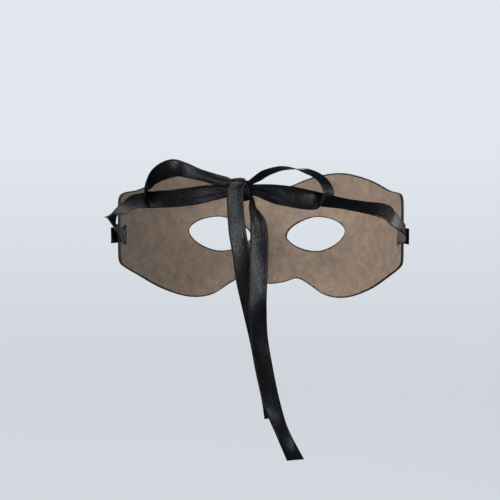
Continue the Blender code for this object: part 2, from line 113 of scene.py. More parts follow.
bpy.ops.mesh.extrude_edges_move(TRANSFORM_OT_translate={"value": (0, 0, WALL_HEIGHT)})
bpy.ops.mesh.select_all(action="SELECT")
bpy.ops.mesh.normals_make_consistent(inside=True)
bpy.ops.object.mode_set(mode="OBJECT")
bpy.ops.object.transform_apply(location=True)
bpy.ops.object.shade_smooth()

# The sockets of a colour mix: its factor, its two colours and its result.
MIX_FACTOR = 0
MIX_FIRST = 6
MIX_SECOND = 7
MIX_RESULT = 2


def new_material(name):
    """A material with its shader, and short ways to add nodes and to join sockets."""
    material = bpy.data.materials.new(name)
    material.use_nodes = True
    tree = material.node_tree
    shader = tree.nodes["Principled BSDF"]

    def node(kind, **values):
        made = tree.nodes.new(kind)
        for key, value in values.items():
            if key in made.inputs:
                made.inputs[key].default_value = value
            else:
                setattr(made, key, value)
        return made

    return material, shader, node, tree.links.new


# The room's glow: a near-black surface that gives off pale light, dimmer towards the floor, painted
# light standing in for a lit backdrop.
paint, shader, node, join = new_material("glowing_backdrop")
place = node("ShaderNodeTexCoord")
height = node("ShaderNodeSeparateXYZ")
join(place.outputs["Object"], height.inputs["Vector"])
glow = node("ShaderNodeMapRange")
glow.inputs["From Min"].default_value = -FLOOR_DROP
glow.inputs["From Max"].default_value = FULL_GLOW_HEIGHT
join(height.outputs["Z"], glow.inputs["Value"])
tone = node("ShaderNodeMix", data_type="RGBA")
tone.inputs[MIX_FIRST].default_value = (*ROOM_GLOW_LOW, 1)
tone.inputs[MIX_SECOND].default_value = (*ROOM_GLOW_HIGH, 1)
join(glow.outputs["Result"], tone.inputs[MIX_FACTOR])
join(tone.outputs[MIX_RESULT], shader.inputs["Emission Color"])
shader.inputs["Emission Strength"].default_value = 1.0
shader.inputs["Base Color"].default_value = (*ROOM_COLOUR, 1)
shader.inputs["Roughness"].default_value = 0.9
room.data.materials.append(paint)
room.visible_glossy = False
room.visible_shadow = False

SKY_COLOUR = (0.86, 0.92, 1.0)
SKY_STRENGTH = 0.04
SOFT_LIGHTS = [
    # name, place, size, watts, seen in the satin's gloss
    ("main_panel", (0.38, 1.98, 0.70), 0.60, 6.0, True),
    ("wide_panel", (0.45, 2.02, 0.48), 1.10, 2.2, True),
    ("left_glow", (1.25, 1.75, 0.25), 0.70, 4.5, True),
    ("right_glow", (-1.50, 1.30, 0.15), 0.70, 4.5, True),
    ("left_panel", (1.20, -1.40, -0.10), 0.8, 2.4, True),
    ("low_left_panel", (0.75, -1.25, -0.85), 0.9, 0.9, True),
    ("right_panel", (-1.50, -1.05, -0.10), 0.8, 4.5, True),
    ("front_panel", (0.45, -1.75, 0.90), 1.0, 10, True),
    ("bounce_panel", (1.30, 1.60, 1.50), 1.2, 70, False),
    ("top_panel", (0.10, 0.45, 2.0), 1.1, 6, True),
]
for name, place, size, watts, glossy in SOFT_LIGHTS:
    bpy.ops.object.light_add(type="AREA", location=place)
    panel = bpy.context.object
    panel.name = name
    panel.data.shape = "DISK"
    panel.data.size = size
    panel.data.energy = watts
    panel.visible_camera = False
    panel.visible_glossy = glossy
    panel.rotation_euler = (BOW_PLACE - Vector(place)).to_track_quat("-Z", "Y").to_euler()
world = bpy.context.scene.world or bpy.data.worlds.new("daylight")
bpy.context.scene.world = world
world.use_nodes = True
sky = world.node_tree.nodes["Background"]
sky.inputs["Color"].default_value = (*SKY_COLOUR, 1)
sky.inputs["Strength"].default_value = SKY_STRENGTH
bpy.context.scene.view_settings.view_transform = "Standard"

# The mask. A thin shell of moulded board, painted matt black on its front and over its rim, and
# left raw and tan inside. Its form is the frame's own solid, with its rims rounded over.
MERGE_DISTANCE = 0.00002
RIM_ROUND = 0.0006
RIM_ANGLE = math.radians(50)
MASK_CENTRE = Vector((0, 0.10, 0))
FRONT_FACING = 0.25
PAINT_WRAP = 0.0008
PAINT_FADE = 0.0004
PAINT_WANDER = 0.0009
PAINT_BLACK = (0.010, 0.010, 0.011)
PAINT_ROUGHNESS = 0.46
RAW_BOARD = (0.172, 0.125, 0.092)
BOARD_ROUGHNESS = 0.88
BOARD_DARKEST = 0.70
BOARD_LIGHTEST = 1.28
GRAIN_RELIEF = 0.0004

bpy.ops.object.select_all(action="DESELECT")
mask = bpy.data.objects.new("moulded_mask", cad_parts["mask_shell"].data.copy())
bpy.context.scene.collection.objects.link(mask)
mask.select_set(True)
bpy.context.view_layer.objects.active = mask
bpy.ops.object.mode_set(mode="EDIT")
bpy.ops.mesh.select_all(action="SELECT")
bpy.ops.mesh.remove_doubles(threshold=MERGE_DISTANCE)
bpy.ops.mesh.tris_convert_to_quads(face_threshold=math.radians(40), shape_threshold=math.radians(60))
bpy.ops.object.mode_set(mode="OBJECT")
rounding = mask.modifiers.new("rounded rims", "BEVEL")
rounding.width = RIM_ROUND
rounding.segments = 3
rounding.limit_method = "ANGLE"
rounding.angle_limit = RIM_ANGLE
smoothing = mask.modifiers.new("smooth face", "SUBSURF")
smoothing.levels = smoothing.render_levels = 1
for modifier in (rounding, smoothing):
    bpy.ops.object.modifier_apply(modifier=modifier.name)
bpy.ops.object.shade_smooth()

# Each point keeps how far it lies from the painted front, for the paint that wraps over the rim.
surface = mask.data
front_points = set()
for face in surface.polygons:
    inward = Vector((-face.center.x, MASK_CENTRE.y - face.center.y, 0)).normalized()
    if face.normal.dot(inward) < FRONT_FACING:
        front_points.update(face.vertices)
tree = KDTree(len(front_points))
for index in front_points:
    tree.insert(surface.vertices[index].co, index)
tree.balance()
inside_depth = surface.attributes.new("inside_depth", "FLOAT", "POINT")
for vertex in surface.vertices:
    inside_depth.data[vertex.index].value = tree.find(vertex.co)[2]

board, shader, node, join = new_material("painted_board")
place = node("ShaderNodeTexCoord")
depth = node("ShaderNodeAttribute", attribute_name="inside_depth")
ragged = node("ShaderNodeTexNoise", Scale=420.0, Detail=3.0)
join(place.outputs["Object"], ragged.inputs["Vector"])
wander = node("ShaderNodeMath", operation="MULTIPLY_ADD")
wander.inputs[1].default_value = PAINT_WANDER
wander.inputs[2].default_value = -0.5 * PAINT_WANDER
join(ragged.outputs["Fac"], wander.inputs[0])
edge = node("ShaderNodeMath", operation="ADD")
join(depth.outputs["Fac"], edge.inputs[0])
join(wander.outputs[0], edge.inputs[1])
raw = node("ShaderNodeMapRange")
raw.inputs["From Min"].default_value = PAINT_WRAP
raw.inputs["From Max"].default_value = PAINT_WRAP + PAINT_FADE
join(edge.outputs[0], raw.inputs["Value"])
fibre = node("ShaderNodeTexNoise", Scale=160.0, Detail=9.0, Roughness=0.72, Distortion=0.6)
join(place.outputs["Object"], fibre.inputs["Vector"])
tan = node("ShaderNodeValToRGB")
tan.color_ramp.elements[0].position = 0.3
tan.color_ramp.elements[0].color = (*[c * BOARD_DARKEST for c in RAW_BOARD], 1)
tan.color_ramp.elements[1].position = 0.72
tan.color_ramp.elements[1].color = (*[c * BOARD_LIGHTEST for c in RAW_BOARD], 1)
join(fibre.outputs["Fac"], tan.inputs["Fac"])
coat = node("ShaderNodeMix", data_type="RGBA")
coat.inputs[MIX_FIRST].default_value = (*PAINT_BLACK, 1)
join(raw.outputs["Result"], coat.inputs[MIX_FACTOR])
join(tan.outputs["Color"], coat.inputs[MIX_SECOND])
join(coat.outputs[MIX_RESULT], shader.inputs["Base Color"])
dull = node("ShaderNodeMapRange")
dull.inputs["To Min"].default_value = PAINT_ROUGHNESS
dull.inputs["To Max"].default_value = BOARD_ROUGHNESS
join(raw.outputs["Result"], dull.inputs["Value"])
join(dull.outputs["Result"], shader.inputs["Roughness"])
grain = node("ShaderNodeTexNoise", Scale=900.0, Detail=4.0)
join(place.outputs["Object"], grain.inputs["Vector"])
relief = node("ShaderNodeBump", Strength=0.5, Distance=GRAIN_RELIEF)
join(grain.outputs["Fac"], relief.inputs["Height"])
join(relief.outputs["Normal"], shader.inputs["Normal"])
surface.materials.clear()
surface.materials.append(board)
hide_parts("mask_shell")
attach(mask, "root")

# The satin. Black double-faced ribbon with close cross ribs, a woven edge down each side, and a
# blue-grey gloss that breaks up into fine sparks where the light catches the weave.
RIBBON_WIDTH = 0.010
RIBBON_THICKNESS = 0.00042
SELVEDGE = 0.0007
RIB_PITCH = 0.00045
SPARK_SIZE = 0.0007
STREAKS_ALONG = 45.0
STREAKS_ACROSS = 900.0
CLOUDS_ALONG = 110.0
CLOUDS_ACROSS = 190.0
SATIN_BLACK = (0.0021, 0.0020, 0.0024)
SATIN_DARKEST = 0.7
SATIN_LIGHTEST = 1.5
HEM_DARKER = 0.35
SATIN_SHEEN = (0.62, 0.70, 0.92)
SATIN_GLOSS_TINT = (0.93, 0.95, 1.0)
SPARK_ROUGHNESS = (0.17, 0.38)
HEM_ROUGHER = 0.20
CLOUD_ROUGHER = 0.08
RIB_RELIEF = 0.000012
SPARK_RELIEF = 0.00009
FOLD_RELIEF = 0.00035
FOLD_GATHERED = 4.0
FOLD_FLAT = 0.15
HEM_RELIEF = 0.00025

satin, shader, node, join = new_material("black_satin")
course = node("ShaderNodeUVMap", uv_map="along_across")
split = node("ShaderNodeSeparateXYZ")
join(course.outputs["UV"], split.inputs["Vector"])
from_middle = node("ShaderNodeMath", operation="ABSOLUTE")
join(split.outputs["Y"], from_middle.inputs[0])
hem = node("ShaderNodeMapRange", interpolation_type="SMOOTHSTEP")
hem.inputs["From Min"].default_value = 0.5 * RIBBON_WIDTH - 1.4 * SELVEDGE
hem.inputs["From Max"].default_value = 0.5 * RIBBON_WIDTH - 0.6 * SELVEDGE
join(from_middle.outputs[0], hem.inputs["Value"])


def pattern(kind, along, across, **values):
    """A pattern on the ribbon's course, with its repeats per metre along and across."""
    placed = node("ShaderNodeMapping")
    placed.inputs["Scale"].default_value = (along, across, 1.0)
    join(course.outputs["UV"], placed.inputs["Vector"])
    made = node(kind, **values)
    join(placed.outputs["Vector"], made.inputs["Vector"])
    return made


ribs = pattern("ShaderNodeTexWave", math.pi / (10 * RIB_PITCH), 60.0, Scale=1.0, Distortion=0.6)
sparks = pattern(
    "ShaderNodeTexNoise", 1 / SPARK_SIZE, 1 / SPARK_SIZE, Scale=1.0, Detail=1.0, Roughness=0.6
)
streaks = pattern("ShaderNodeTexNoise", STREAKS_ALONG, STREAKS_ACROSS, Scale=1.0, Detail=3.0)
clouds = pattern("ShaderNodeTexNoise", CLOUDS_ALONG, CLOUDS_ACROSS, Scale=1.0, Detail=4.0)
gathered = node("ShaderNodeAttribute", attribute_name="gathered")

shine = node("ShaderNodeMapRange")
shine.inputs["From Min"].default_value = 0.3
shine.inputs["From Max"].default_value = 0.7
shine.inputs["To Min"].default_value = SPARK_ROUGHNESS[0]
shine.inputs["To Max"].default_value = SPARK_ROUGHNESS[1]
join(sparks.outputs["Fac"], shine.inputs["Value"])
rougher = node("ShaderNodeMath", operation="MULTIPLY_ADD")
rougher.inputs[1].default_value = HEM_ROUGHER
join(hem.outputs["Result"], rougher.inputs[0])
join(shine.outputs["Result"], rougher.inputs[2])
patchy = node("ShaderNodeMath", operation="MULTIPLY_ADD")
patchy.inputs[1].default_value = CLOUD_ROUGHER
join(clouds.outputs["Fac"], patchy.inputs[0])
join(rougher.outputs[0], patchy.inputs[2])
join(patchy.outputs[0], shader.inputs["Roughness"])
# The black is lighter along the raised streaks of the folds and darker in their hollows. These are
# the same streaks that give the fold relief below, so this is painted light and shade on the folds.
fold_light_and_shade = node("ShaderNodeValToRGB")
fold_light_and_shade.color_ramp.elements[0].position = 0.30
fold_light_and_shade.color_ramp.elements[0].color = (*[c * SATIN_DARKEST for c in SATIN_BLACK], 1)
fold_light_and_shade.color_ramp.elements[1].position = 0.70
fold_light_and_shade.color_ramp.elements[1].color = (*[c * SATIN_LIGHTEST for c in SATIN_BLACK], 1)
join(streaks.outputs["Fac"], fold_light_and_shade.inputs["Fac"])
edge_tone = node("ShaderNodeMix", data_type="RGBA")
edge_tone.inputs[MIX_SECOND].default_value = (*[c * HEM_DARKER for c in SATIN_BLACK], 1)
join(hem.outputs["Result"], edge_tone.inputs[MIX_FACTOR])
join(fold_light_and_shade.outputs["Color"], edge_tone.inputs[MIX_FIRST])
join(edge_tone.outputs[MIX_RESULT], shader.inputs["Base Color"])
shader.inputs["Sheen Weight"].default_value = 0.01
shader.inputs["Sheen Roughness"].default_value = 0.35
shader.inputs["Sheen Tint"].default_value = (*SATIN_SHEEN, 1)
shader.inputs["Specular IOR Level"].default_value = 0.5
shader.inputs["Specular Tint"].default_value = (*SATIN_GLOSS_TINT, 1)
shader.inputs["Anisotropic"].default_value = 0.25
shader.inputs["Anisotropic Rotation"].default_value = 0.25
grain_way = node("ShaderNodeTangent", direction_type="UV_MAP", uv_map="along_across")
join(grain_way.outputs["Tangent"], shader.inputs["Tangent"])
woven = node("ShaderNodeBump", Strength=1.0, Distance=RIB_RELIEF)
join(ribs.outputs["Fac"], woven.inputs["Height"])
sparkle = node("ShaderNodeBump", Strength=1.0, Distance=SPARK_RELIEF)
join(sparks.outputs["Fac"], sparkle.inputs["Height"])
join(woven.outputs["Normal"], sparkle.inputs["Normal"])
fold_depth = node("ShaderNodeMath", operation="MULTIPLY_ADD")
fold_depth.inputs[1].default_value = FOLD_GATHERED
fold_depth.inputs[2].default_value = FOLD_FLAT
join(gathered.outputs["Fac"], fold_depth.inputs[0])
fold_height = node("ShaderNodeMath", operation="MULTIPLY")
join(streaks.outputs["Fac"], fold_height.inputs[0])
join(fold_depth.outputs[0], fold_height.inputs[1])
folded = node("ShaderNodeBump", Strength=1.0, Distance=FOLD_RELIEF)
join(fold_height.outputs[0], folded.inputs["Height"])
join(sparkle.outputs["Normal"], folded.inputs["Normal"])
corded = node("ShaderNodeBump", Strength=0.6, Distance=HEM_RELIEF)
join(hem.outputs["Result"], corded.inputs["Height"])
join(folded.outputs["Normal"], corded.inputs["Normal"])
join(corded.outputs["Normal"], shader.inputs["Normal"])

# How a stretch of ribbon is laid. Rows along its course give its middle, its width as a vector and
# how far it is pleated; a smooth surface is drawn through them and given the ribbon's thickness.
ROW_STEPS = 10
COLUMNS = 24
PLEAT_DEPTH = 0.0009
WRINKLE = 0.00016
CREASES_PER_METRE = 95
FINE_CREASES_PER_METRE = 330
EDGE_ANGLE = math.radians(50)


def smooth_through(rows):
    """Rows on a smooth curve through the given rows, with equal steps between each two."""
    rows = np.asarray(rows, float)
    held = np.vstack([2 * rows[0] - rows[1], rows, 2 * rows[-1] - rows[-2]])
    found = []
    for i in range(1, len(held) - 2):
        a, b, c, d = held[i - 1 : i + 3]
        for t in np.arange(ROW_STEPS) / ROW_STEPS:
            bend = t * t * (a - 2.5 * b + 2 * c - 0.5 * d)
            found.append(b + 0.5 * t * (c - a) + bend + t**3 * (1.5 * (b - c) + 0.5 * (d - a)))
    found.append(rows[-1])
    return np.array(found)


def station(middle, width, pleat=0.0):
    """One row of a ribbon's course."""
    return [*middle, *width, pleat]


def band_width(out, back, lean, turn, length):
    """A width vector leaning from upright towards out, then turned towards back, in degrees."""
    lean, turn = math.radians(lean), math.radians(turn)
    flat = out * math.sin(lean) + Vector((0, 0, 1)) * math.cos(lean)
    return (flat * math.cos(turn) + back * math.sin(turn)) * length


def lay_ribbon(name, rows, node_name, seed, curl=((0, 0), (1, 0))):
    """A ribbon's surface through the rows, with its woven course as a UV map in metres.

    The curl is how far its middle stands proud of its edges, in metres, at shares of its length.
    """
    rows = smooth_through(rows)
    middles = rows[:, :3]
    runs = np.concatenate([[0], np.cumsum(np.linalg.norm(np.diff(middles, axis=0), axis=1))])
    tangents = np.gradient(middles, axis=0)
    points = []
    shares = np.linspace(-0.5, 0.5, COLUMNS + 1)
    proud = np.interp(runs / runs[-1], *zip(*curl))
    for middle, tangent, run, stand, row in zip(middles, tangents, runs, proud, rows):
        width = row[3:6]
        pleat = row[6]
        normal = np.cross(tangent, width)
        normal /= np.linalg.norm(normal)
        for share in shares:
            fold = -0.5 * PLEAT_DEPTH * pleat * math.cos(4 * math.pi * (share + 0.5))
            crease = noise.noise(Vector((run * CREASES_PER_METRE + seed, share * 1.9, seed * 0.37)))
            fine = noise.noise(Vector((run * FINE_CREASES_PER_METRE + seed, share * 5.0, seed)))
            lift = fold + WRINKLE * (1.4 * crease + 0.35 * fine)
            lift += stand * (2 / 3 - 4 * share * share)
            points.append(middle + width * share + normal * lift)
    faces = []
    across = COLUMNS + 1
    for i in range(len(rows) - 1):
        for j in range(COLUMNS):
            a = i * across + j
            faces.append((a, a + across, a + across + 1, a + 1))
    mesh = bpy.data.meshes.new(name)
    mesh.from_pydata([tuple(p) for p in points], [], faces)
    course_map = mesh.uv_layers.new(name="along_across")
    for loop in mesh.loops:
        i, j = divmod(loop.vertex_index, across)
        course_map.data[loop.index].uv = (runs[i], shares[j] * RIBBON_WIDTH)
    gather = mesh.attributes.new("gathered", "FLOAT", "POINT")
    gather.data.foreach_set("value", np.repeat(np.clip(rows[:, 6], 0, 1), across))
    mesh.materials.append(satin)
    ribbon = bpy.data.objects.new(name, mesh)
    bpy.context.scene.collection.objects.link(ribbon)
    bpy.ops.object.select_all(action="DESELECT")
    ribbon.select_set(True)
    bpy.context.view_layer.objects.active = ribbon
    body = ribbon.modifiers.new("thickness", "SOLIDIFY")
    body.thickness = RIBBON_THICKNESS
    body.offset = 0
    bpy.ops.object.modifier_apply(modifier=body.name)
    bpy.ops.object.shade_smooth_by_angle(angle=EDGE_ANGLE)
    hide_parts(node_name)
    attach(ribbon, "root")


# The ties. Each runs from the knot round one side, turns as it passes the side, and is threaded
# through the slot near the rear edge of its wing, with a short end left outside.
BOW_RISE = 0.032
WORN_WIDTH = 0.168
WORN_DEPTH = 0.199
WORN_MIDDLE = 0.103
SIDE_STAND = 0.010
KNOT_WIDTH = 0.0106
KNOT_HEIGHT = 0.0132
KNOT_DEPTH = 0.0084
KNOT_LOW = 0.06
GAP = 0.0003
ROOT = 0.5 * KNOT_WIDTH + GAP
KNOT_MIDDLE = Vector((0, WORN_DEPTH + 0.5 * KNOT_DEPTH + GAP, BOW_RISE - KNOT_LOW * KNOT_HEIGHT))
GRIP_SHARE = 0.45
TIE_ROOT_WIDTH = 0.0062
TIE_ROOT_SET = 0.0022
TIE_PLEAT = 0.35
HALF_MASK = 0.089
MASK_WRAP = 0.072
WRAP_ANGLE = math.radians(75)
MASK_WALL = 0.0016
SLOT_LENGTH = 0.003
SLOT_BAR = 0.006
SLOT_SET_BACK = 1.24
TAB_LENGTH = 0.009
TAB_FLARE = 0.0006
SOLID_WALL = 0.001
BACK = Vector((0, 1, 0))

TIE_LEFT = [
    # round, out, rise, lean, ahead, width
    (0.10, 1.012, 0.950, 0, 0, 0.90),
    (0.20, 1.008, 0.885, 0, 0, 1.00),
    (0.32, 1.008, 0.825, 4, 0, 1.00),
    (0.44, 1.008, 0.790, 8, 0, 0.95),
    (0.56, 1.006, 0.750, 26, 0, 0.90),
    (0.67, 1.004, 0.630, 50, 0, 0.76),
    (0.78, 1.002, 0.530, 62, 0, 0.74),
    (0.92, 1.015, 0.460, 88, 0, 0.78),
]
TIE_RIGHT = [
    # round, out, rise, lean, ahead, width
    (0.10, 1.012, 0.955, 0, 0, 0.90),
    (0.20, 1.008, 0.900, 10, 0, 0.95),
    (0.32, 1.008, 0.815, 30, 0, 0.90),
    (0.44, 1.010, 0.735, 44, 0, 0.82),
    (0.58, 1.012, 0.655, 42, 0, 0.85),
    (0.70, 1.012, 0.595, 30, 0, 0.90),
    (0.83, 1.008, 0.505, 20, 6, 0.90),
    (0.96, 1.012, 0.370, 12, 26, 0.92),
]
PASS_LEFT = [
    # along, stand, rise, lean, ahead, width
    (0.22, 0.60, 0.410, 104, 0, 0.82),
    (0.46, 0.66, 0.262, 40, 0, 0.94),
]
PASS_RIGHT = [
    # along, stand, rise, lean, ahead, width
    (0.30, 0.58, 0.170, -6, 40, 0.95),
    (0.58, 0.50, 0.060, -6, 24, 1.00),
]


def wing_point(turn):
    """The point of the wing's inner face at a turn from the nose."""
    x = HALF_MASK * math.sin(turn) / math.sin(WRAP_ANGLE)
    y = MASK_WRAP * (1 - math.cos(turn)) / (1 - math.cos(WRAP_ANGLE))
    return Vector((x, y, 0))


def slot_rows(side):
    """The tie's end: in along the bar, through the slot and back outside as a short end."""
    bar_turn = (SLOT_BAR + 0.5 * SLOT_LENGTH) / (wing_point(WRAP_ANGLE) - wing_point(0)).length
    turn = WRAP_ANGLE - SLOT_SET_BACK * bar_turn
    middle = wing_point(turn)
    rear = (wing_point(turn + 0.02) - wing_point(turn)).normalized()
    out = Vector((rear.y, -rear.x, 0))
    for way in (middle, rear, out):
        way.x *= side
    off = GAP + 0.5 * SOLID_WALL
    bar_front = 0.5 * SLOT_LENGTH
    bar_rear = bar_front + SLOT_BAR
    turn_at = bar_front - off
    layer = SOLID_WALL + GAP
    path = [
        # to the rear from the slot's middle, outward from the inner face
        (bar_rear, -off),
        (bar_front + 0.35 * SLOT_BAR, -off),
        (bar_front + 0.02 * SLOT_BAR, -0.9 * off),
        (turn_at, 0.5 * MASK_WALL),
        (bar_front + 0.02 * SLOT_BAR, MASK_WALL + 0.9 * off),
        (bar_front + 0.35 * SLOT_BAR, MASK_WALL + off),
        (bar_rear, MASK_WALL + off),
        (bar_rear + 0.35 * TAB_LENGTH, 0.45 * MASK_WALL + off + 0.5 * layer),
        (bar_rear + TAB_LENGTH, layer + TAB_FLARE),
    ]
    width = Vector((0, 0, RIBBON_WIDTH))
    return [station(middle + rear * a + out * b, width) for a, b in path]


def tie_rows(side, rows, last_rows):
    """A tie's whole course, from inside the knot to its end outside the wing."""
    start = math.asin(ROOT / (0.5 * WORN_WIDTH))
    root = Vector((side * ROOT, KNOT_MIDDLE.y - TIE_ROOT_SET, BOW_RISE))
    inside = Vector((side * GRIP_SHARE * ROOT, root.y, root.z))
    course_rows = [
        station(inside, Vector((0, 0, 0.8 * TIE_ROOT_WIDTH)), 1.0),
        station(root, Vector((0, 0, TIE_ROOT_WIDTH)), 1.0),
    ]
    for share, out, rise, lean, ahead, width in rows:
        turn = start + share * (0.5 * math.pi - start)
        radial = Vector((side * math.sin(turn), math.cos(turn), 0))
        onward = Vector((side * math.cos(turn), -math.sin(turn), 0))
        x = side * 0.5 * WORN_WIDTH * out * math.sin(turn)
        y = WORN_MIDDLE + (WORN_DEPTH - WORN_MIDDLE) * out * math.cos(turn)
        across = band_width(radial, onward, lean, ahead, width * RIBBON_WIDTH)
        pleat = TIE_PLEAT * (1 - share) ** 6
        course_rows.append(station(Vector((x, y, rise * BOW_RISE)), across, pleat))
    ends = slot_rows(side)
    target = Vector((*ends[0][:2], 0))
    outer = Vector((side * 0.5 * WORN_WIDTH, WORN_MIDDLE, 0))
    for along, stand, rise, lean, ahead, width in last_rows:
        place = outer.lerp(target, along)
        place.x += side * SIDE_STAND * stand
        place.z = rise * BOW_RISE
        across = band_width(Vector((side, 0, 0)), -BACK, lean, ahead, width * RIBBON_WIDTH)
        course_rows.append(station(place, across))
    return course_rows + ends


lay_ribbon(
    "tie_left", tie_rows(1, TIE_LEFT, PASS_LEFT), "strap_left", 3.1
)
lay_ribbon(
    "tie_right", tie_rows(-1, TIE_RIGHT, PASS_RIGHT), "strap_right", 7.4
)

# The bow's loops. Each leaves the knot as an upper run, turns over at its outer end, and comes back
# to the knot in front of the tie, gathered into soft lengthwise folds where the knot grips it.
LOOP_STAND = 0.010
LOOP_LEFT_REACH = 0.0520
LOOP_LEFT_RISE = 0.0125
LOOP_RIGHT_REACH = 0.044
LOOP_RIGHT_RISE = 0.0126

LOOP_LEFT = [
    # out, up, stand, lean, turn, width, pleat
    (0.000, 0.33, 0.50, -20, -66, 0.60, 1.0),
    (0.070, 0.37, 0.58, -22, -58, 0.92, 0.6),
    (0.170, 0.47, 0.64, -23, -57, 1.00, 0.2),
    (0.370, 0.71, 0.70, -25, -52, 1.00, 0.0),
    (0.530, 0.91, 0.80, -10, -34, 1.00, 0.0),
    (0.660, 1.00, 0.92, 4, -4, 1.00, 0.0),
    (0.770, 0.865, 1.05, 21, 16, 1.00, 0.0),
    (0.865, 0.615, 1.15, 33, 38, 1.00, 0.0),
    (0.930, 0.34, 1.20, 48, 62, 1.00, 0.0),
    (0.975, 0.02, 1.16, 70, 78, 1.00, 0.0),
    (1.000, -0.34, 0.95, 0, 128, 1.00, 0.0),
    (0.945, -0.50, 0.68, 0, 158, 1.00, 0.0),
    (0.820, -0.47, 0.47, 4, 176, 1.00, 0.0),
    (0.620, -0.42, 0.37, 10, 180, 1.00, 0.0),
    (0.415, -0.30, 0.34, 10, 180, 1.00, 0.1),
    (0.220, -0.15, 0.36, 8, 180, 0.90, 0.3),
    (0.080, -0.07, 0.42, 4, 180, 0.75, 0.6),
    (0.000, -0.05, 0.46, 0, 180, 0.64, 1.0),
]
LOOP_RIGHT = [
    # out, up, stand, lean, turn, width, pleat
    (0.000, 0.33, 0.50, -50, 60, 0.55, 1.0),
    (0.095, 0.53, 0.56, -43, 57, 0.74, 0.5),
    (0.190, 0.75, 0.61, -31, 66, 0.96, 0.2),
    (0.340, 0.94, 0.68, -22, 74, 1.00, 0.0),
    (0.450, 0.985, 0.73, 0, 79, 1.00, 0.0),
    (0.570, 0.95, 0.79, 24, 87, 1.00, 0.0),
    (0.700, 0.865, 0.88, 48, 106, 1.00, 0.0),
    (0.820, 0.70, 0.98, 55, 112, 1.00, 0.0),
    (0.910, 0.47, 1.08, 63, 115, 1.00, 0.0),
    (0.970, 0.17, 1.15, 78, 121, 1.00, 0.0),
    (0.995, -0.12, 1.15, 88, 124, 1.00, 0.0),
    (0.975, -0.38, 0.98, 70, 130, 1.00, 0.0),
    (0.900, -0.51, 0.74, 20, 150, 1.00, 0.0),
    (0.790, -0.54, 0.54, 10, 168, 1.00, 0.0),
    (0.630, -0.48, 0.40, 12, 178, 1.00, 0.0),
    (0.475, -0.37, 0.35, 12, 180, 1.00, 0.0),
    (0.320, -0.25, 0.35, 12, 180, 1.00, 0.1),
    (0.180, -0.12, 0.37, 10, 180, 0.83, 0.3),
    (0.070, -0.02, 0.42, 5, 180, 0.66, 0.6),
    (0.000, 0.00, 0.46, 0, 180, 0.58, 1.0),
]


def round_back(x):
    """How far back the worn round reaches at a distance from the middle."""
    share = min(abs(x) / (0.5 * WORN_WIDTH), 0.98)
    return WORN_MIDDLE + (WORN_DEPTH - WORN_MIDDLE) * math.sqrt(1 - share * share)


def loop_rows(side, reach, rise, rows):
    """A loop's course, with both its ends gripped inside the knot."""
    course_rows = []
    for out, up, stand, lean, turn, width, pleat in rows:
        x = ROOT + out * reach
        place = Vector((side * x, round_back(x) + stand * LOOP_STAND, BOW_RISE + up * rise))
        across = band_width(Vector((side, 0, 0)), BACK, lean, turn, width * RIBBON_WIDTH)
        course_rows.append(station(place, across, pleat))
    gripped = []
    for end in (course_rows[0], course_rows[-1]):
        inside = list(end)
        inside[0] *= GRIP_SHARE
        inside[3:6] = [0.85 * part for part in end[3:6]]
        gripped.append(inside)
    return [gripped[0], *course_rows, gripped[1]]


lay_ribbon(
    "loop_left",
    loop_rows(1, LOOP_LEFT_REACH, LOOP_LEFT_RISE, LOOP_LEFT),
    "bow_loop_left",
    11.9,
)
lay_ribbon(
    "loop_right",
    loop_rows(-1, LOOP_RIGHT_REACH, LOOP_RIGHT_RISE, LOOP_RIGHT),
    "bow_loop_right",
    15.2,
)

# The tails. The left one comes over the top of the knot and falls flat across it; the right one
# slips out below the knot and hangs in front of the other. Both ends are cut square.
TAIL_STAND = 0.012
TAIL_LEFT_DROP = 0.1305
TAIL_LEFT_DRIFT = 0.0190
TAIL_RIGHT_DROP = 0.1545
TAIL_RIGHT_DRIFT = 0.0318

TAIL_LEFT = [
    # down, drift, stand, lean, turn, width, pleat
    (0.000, -0.150, 0.00, 90, 0, 0.94, 0.05),
    (0.070, -0.150, 0.06, 91, -2, 0.96, 0.0),
    (0.170, -0.090, 0.18, 95, -2, 1.00, 0.0),
    (0.235, -0.010, 0.32, 98, 3, 1.00, 0.0),
    (0.290, 0.060, 0.39, 98, 8, 1.00, 0.0),
    (0.390, 0.150, 0.40, 98, 10, 1.00, 0.0),
    (0.520, 0.350, 0.35, 101, 2, 1.00, 0.0),
    (0.650, 0.545, 0.24, 101, -4, 1.00, 0.0),
    (0.790, 0.720, 0.06, 101, 4, 1.00, 0.0),
    (0.910, 0.885, -0.15, 100, 6, 1.00, 0.0),
    (1.000, 0.965, -0.34, 98, 2, 1.00, 0.0),
]
TAIL_RIGHT = [
    # down, drift, stand, lean, turn, width, pleat
    (0.060, 0.212, 0.00, 82, 42, 0.50, 0.5),
    (0.084, 0.270, 0.07, 86, 22, 0.70, 0.3),
    (0.120, 0.326, 0.18, 90, 4, 0.92, 0.1),
    (0.170, 0.346, 0.29, 91, 3, 1.02, 0.0),
    (0.215, 0.344, 0.39, 90, 5, 1.06, 0.0),
    (0.270, 0.344, 0.53, 90, 1, 1.05, 0.0),
    (0.330, 0.342, 0.68, 89, -5, 1.03, 0.0),
    (0.380, 0.342, 0.78, 89, -7, 1.00, 0.0),
    (0.440, 0.338, 0.80, 89, 4, 1.00, 0.0),
    (0.540, 0.360, 0.67, 92, 20, 1.00, 0.0),
    (0.660, 0.448, 0.47, 97, 18, 1.00, 0.0),
    (0.780, 0.565, 0.27, 100, 22, 1.00, 0.0),
    (0.890, 0.745, 0.03, 99, 44, 1.00, 0.0),
    (1.000, 0.985, -0.28, 94, 8, 1.00, 0.0),
]


